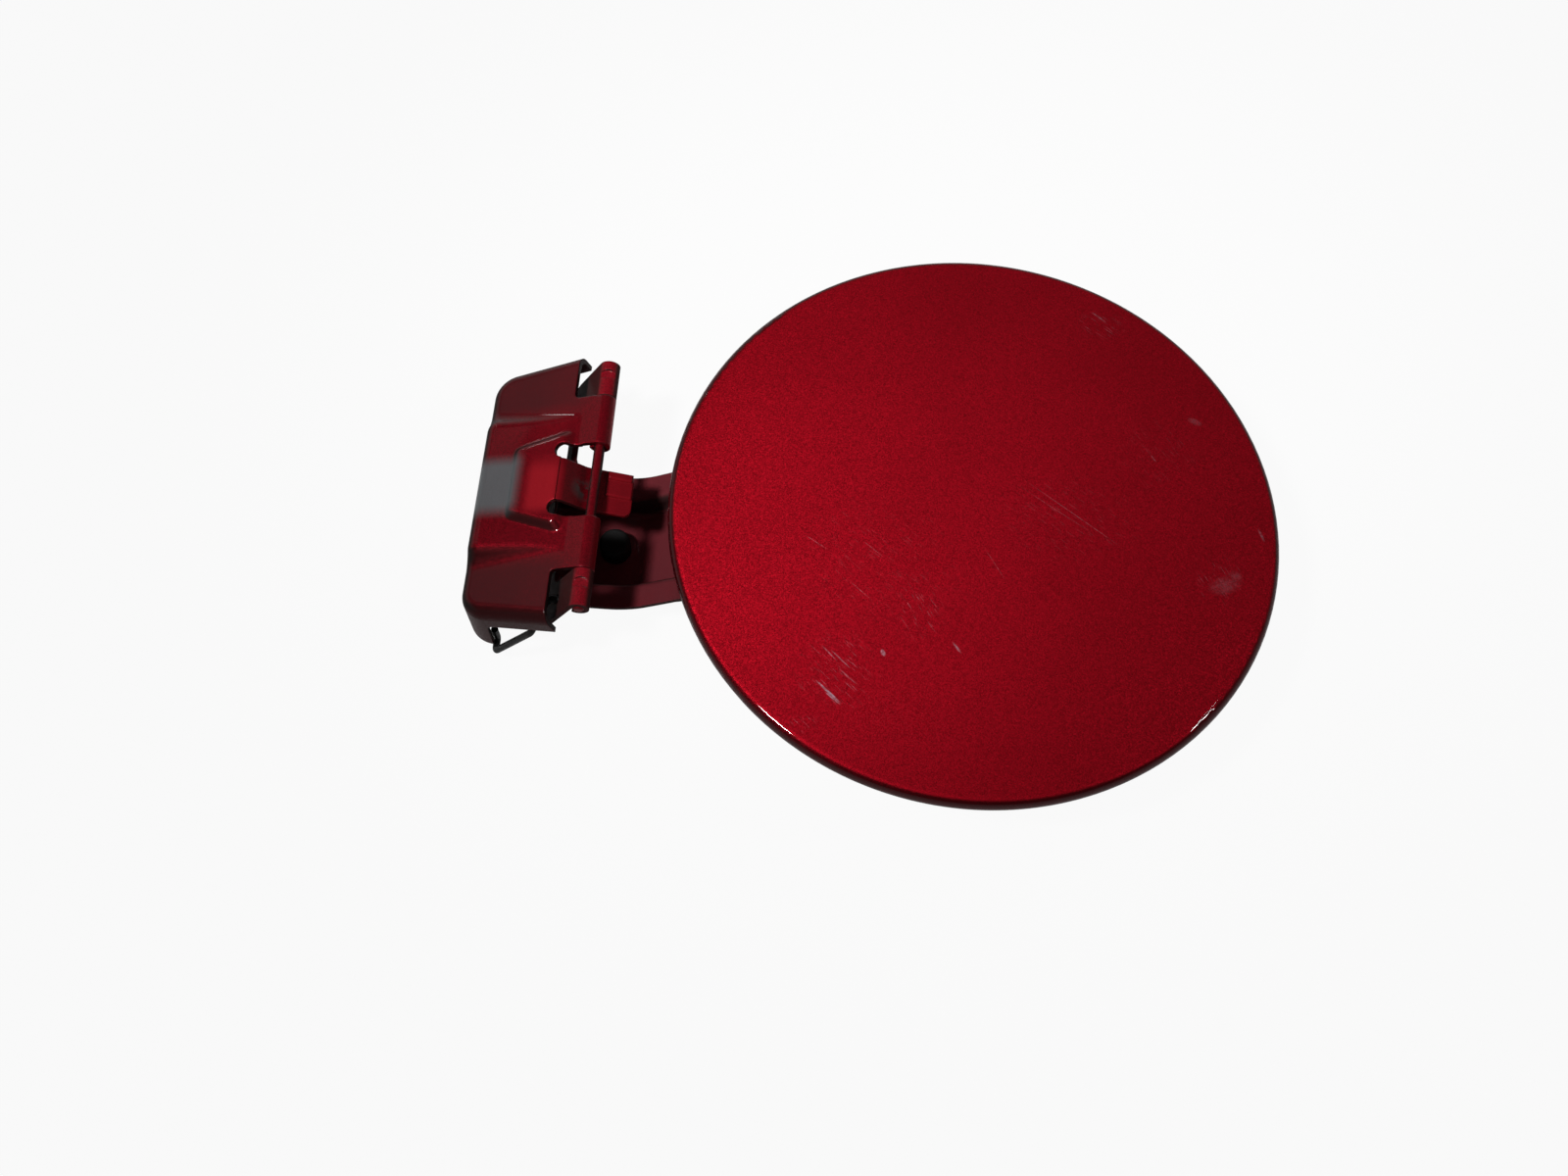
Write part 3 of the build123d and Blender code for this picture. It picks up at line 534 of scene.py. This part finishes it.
def panel_marks(paint):
    """A mask of the panel's scuffs, long hairlines and patches of fine scratches."""
    tree = paint.tree
    marks = 0.0
    for x, y, length, width, turn, weight in (*SCUFFS, *LONG_SCRATCHES):
        mark = paint.streak((PANEL_X + x, PANEL_Y + y), length, width, turn)
        marks = largest(tree, marks, times(tree, mark, weight))
    worn_through = noise(tree, paint.coords, SCUFF_SCALE, detail=4.0, rough=0.7)
    marks = times(tree, marks, ramp(tree, worn_through, 0.38, 0.6, 0.3, 1.0))
    for x, y, width, height, turn, weight in HAIR_PATCHES:
        area = paint.streak((PANEL_X + x, PANEL_Y + y), width, height, 0, soft=0.2)
        grain = mapped(
            tree,
            paint.coords,
            rotation=(0, 0, math.radians(turn)),
            scale=(HAIR_LENGTH * MM, HAIR_WIDTH * MM, 1),
        )
        hairs = ramp(tree, noise(tree, grain, 1.0, detail=1.0), 0.62, 0.76, 0.0, weight)
        marks = largest(tree, marks, times(tree, area, hairs))
    return marks


def panel_paint():
    """The panel's bright paint, with painted shade round the rolled edge, and its marks."""
    paint = flake_paint("panel_red", RED_DEEP, RED_BRIGHT, 0.58, coat_rough=0.03, shape=rolled)
    marks = panel_marks(paint)
    # Painted shade: the rolled edge darkened where it turns away from the face
    rim_shade = one_minus(paint.tree, facing_up_mask(paint, 0.86, 0.994))
    paint.lay(times(paint.tree, rim_shade, 0.9), SHADE_RED)
    paint.lay(marks, SCUFF, rough=0.6)
    return paint.done()


def bracket_paint():
    """Wine red sprayed on a dark primed bracket, with a bare grey patch, a painted highlight
    on the boss and tongue, and painted shade on its flank and on faces that do not look up.
    """
    paint = flake_paint(
        "bracket_red",
        WINE_DEEP,
        WINE_BRIGHT,
        0.4,
        coat_rough=0.04,
        metal=0.6,
        lean=0.15,
        shape=softened,
    )
    tree = paint.tree
    along = paint.axis("X")
    across = paint.axis("Y")
    blotch = noise(tree, paint.coords, BRACKET_BLOTCH)
    up_mask = facing_up_mask(paint, 0.6, 0.97)

    # Painted highlight: a brighter red on the boss, and about half of it on the tongue
    boss = times(
        tree,
        across_span(tree, along, BOSS_REAR),
        across_span(tree, along, BOSS_FRONT, 1.0, 0.0),
        across_span(tree, across, BOSS_LOWER),
        across_span(tree, across, BOSS_UPPER, 1.0, 0.1),
    )
    tongue = times(tree, across_span(tree, along, TONGUE_START), 0.45)
    paint.lay(largest(tree, boss, tongue), HIGHLIGHT_RED)

    # Thin colour on the wings
    wing = across_span(tree, math_node(tree, "ABSOLUTE", across), WING_START)
    near_pin = across_span(tree, along, NEAR_PIN, 1.0, 0.3)
    paint.lay(times(tree, wing, near_pin, ramp(tree, blotch, 0.2, 0.8, 0.7, 0.95)), THIN_RED)

    # Painted shade darkens the lower flank, although the key lamp lights it
    flank_shade = ramp(tree, paint.facing("Y"), -0.34, -0.14, 0.9, 0.0)
    paint.lay(times(tree, flank_shade, across_span(tree, along, FLANK_END, 1.0, 0.0)), SHADE_RED)

    # Dark primer colour on faces that do not look up, kept off faces toward the key lamp:
    # partly primer where the spray missed, partly painted shade
    bare_and_shade = times(
        tree,
        one_minus(tree, up_mask),
        across_span(tree, along, BARE_END, 1.0, 0.0),
        ramp(tree, paint.facing("Y"), -0.75, -0.4, 0.3, 1.0),
        ramp(tree, blotch, 0.2, 0.8, 0.85, 1.0),
    )
    paint.lay(bare_and_shade, PRIMER_AND_SHADE, rough=0.85)

    # The grey patch at the rear
    patch = times(
        tree,
        across_span(tree, along, PATCH_FRONT, 1.0, 0.0),
        across_span(tree, across, PATCH_UPPER, 1.0, 0.0),
        across_span(tree, across, PATCH_LOWER),
    )
    paint.lay(times(tree, patch, 0.92), GREY, rough=0.4)

    # The worn spot beside the pin
    worn = paint.streak(WORN_PLACE, WORN_LENGTH, WORN_WIDTH, 0.0, soft=0.1)
    crumbs = ramp(tree, noise(tree, paint.coords, WORN_SCALE), 0.42, 0.58)
    paint.lay(times(tree, worn, crumbs), WORN, rough=0.45)

    spray_coat(paint, up_mask, 0.2, 1.0)
    paint.shader.inputs["Specular IOR Level"].default_value = 0.04
    return paint.done()


def arm_paint():
    """A thin dusty coat of red on the gooseneck arm, brighter on its rolled ears, with thin
    primer and painted shade on the faces that do not look up.
    """
    paint = flake_paint(
        "arm_red",
        WINE_DEEP,
        WINE_BRIGHT,
        0.5,
        coat_rough=0.06,
        metal=0.2,
        lean=0.1,
        shape=softened,
    )
    tree = paint.tree
    up_mask = facing_up_mask(paint, 0.5, 0.92)
    inside = across_span(tree, paint.axis("Z"), CHANNEL_INSIDE, 1.0, 0.0)
    dust = ramp(tree, noise(tree, paint.coords, ARM_BLOTCH), 0.2, 0.8, 0.85, 1.0)
    paint.lay(times(tree, inside, dust), DULL_RED, rough=0.55)
    # Dark primer colour on faces that do not look up: partly thin primer, partly painted shade
    paint.lay(times(tree, one_minus(tree, up_mask), 0.85), PRIMER_AND_SHADE, rough=0.9)
    spray_coat(paint, up_mask, 0.05, 0.6)
    return paint.done()


def inner_paint():
    """The thinner paint on the hidden faces."""
    paint = flake_paint(
        "inner_red", WINE_DEEP, WINE_BRIGHT, 0.6, coat_rough=0.15, metal=0.5, lean=0.12
    )
    blotch = noise(paint.tree, paint.coords, INNER_BLOTCH, detail=4.0)
    paint.lay(ramp(paint.tree, blotch, 0.35, 0.75, 0.35, 0.75), DULL_RED, rough=0.6)
    return paint.done()


def grained(name, dark, light, rough_low, rough_high, scale, relief):
    """A dark moulded or drawn surface with a fine grain in colour, gloss and relief."""
    finish = Finish(name, dark, rough_low)
    tree = finish.tree
    grain = noise(tree, finish.coords, scale)
    finish.colour = mix_colour(tree, grain, dark, light)
    finish.rough = ramp(tree, grain, 0.3, 0.7, rough_low, rough_high)
    put(tree, finish.shader.inputs["Normal"], bump(tree, grain, relief, 0.2 * MM))
    finish.shader.inputs["Specular IOR Level"].default_value = 0.3
    return finish.done()


def black_rubber():
    return grained(
        "black_rubber",
        dark=(0.004, 0.004, 0.004, 1),
        light=(0.014, 0.013, 0.013, 1),
        rough_low=0.55,
        rough_high=0.8,
        scale=900.0,
        relief=0.25,
    )


def black_plastic():
    return grained(
        "black_plastic",
        dark=(0.010, 0.010, 0.011, 1),
        light=(0.020, 0.020, 0.021, 1),
        rough_low=0.4,
        rough_high=0.55,
        scale=1500.0,
        relief=0.15,
    )


def black_wire():
    return grained(
        "black_wire",
        dark=(0.006, 0.006, 0.006, 1),
        light=(0.018, 0.017, 0.016, 1),
        rough_low=0.25,
        rough_high=0.45,
        scale=700.0,
        relief=0.1,
    )


def dress(node, material):
    """Puts one finish on every slot of a node."""
    data = nodes[node].data
    if not data.materials:
        data.materials.append(material)
    for slot in range(len(data.materials)):
        data.materials[slot] = material


def dress_all():
    bracket_red = bracket_paint()
    inner_red = inner_paint()
    rubber = black_rubber()
    dress("outer_panel", panel_paint())
    dress("hinge_bracket", bracket_red)
    dress("hinge_pin", bracket_red)
    dress("hinge_arm", arm_paint())
    dress("inner_panel", inner_red)
    dress("latch_striker", inner_red)
    dress("edge_bumpers", rubber)
    dress("stop_bumper", rubber)
    dress("cap_hook", black_plastic())
    dress("lid_spring", black_wire())


set_camera()
lay_floor()
set_world()
set_lights()
dress_all()

bpy.context.scene.view_settings.view_transform = "Standard"
